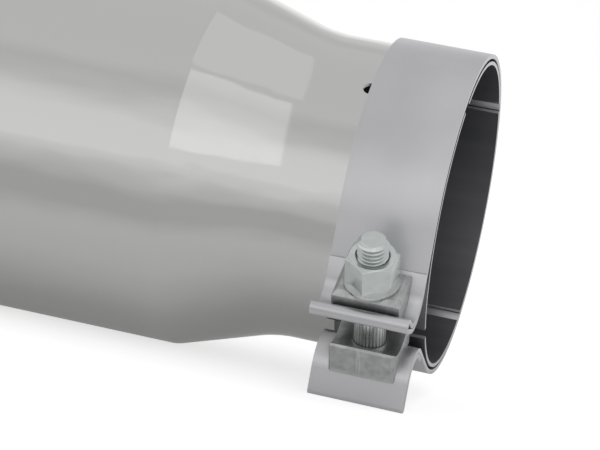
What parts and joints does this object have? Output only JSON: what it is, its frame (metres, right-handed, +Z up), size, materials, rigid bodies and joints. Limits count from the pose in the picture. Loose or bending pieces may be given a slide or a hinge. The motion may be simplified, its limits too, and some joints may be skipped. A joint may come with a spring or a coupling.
{
  "type": "exhaust tip",
  "caption": "Straight round exhaust tip: a slotted inlet neck flares over a cone to a wide outlet tube, and a flat band clamp with a bolted lug grips the neck.",
  "frame": {"origin": "centre of the face of the inlet mouth, the slotted end that slips over the exhaust pipe", "axes": "+X along the tube out of the inlet mouth, towards the exhaust pipe; +Z up; the clamp's lug hangs on the -Y side"},
  "size_m": [0.305, 0.1438, 0.127],
  "materials": {
    "polished_stainless": "polished stainless steel",
    "satin_stainless": "satin stainless strip",
    "lug_steel": "plain rolled steel",
    "zinc_plate": "bright zinc plating"
  },
  "bodies": {
    "root": {"tip_body": "polished_stainless", "clamp_band": "satin_stainless", "upper_bar": "lug_steel", "lower_bar": "lug_steel", "spacer_block": "lug_steel", "clamp_bolt": "zinc_plate", "flange_nut": "zinc_plate"}
  },
  "joints": []
}
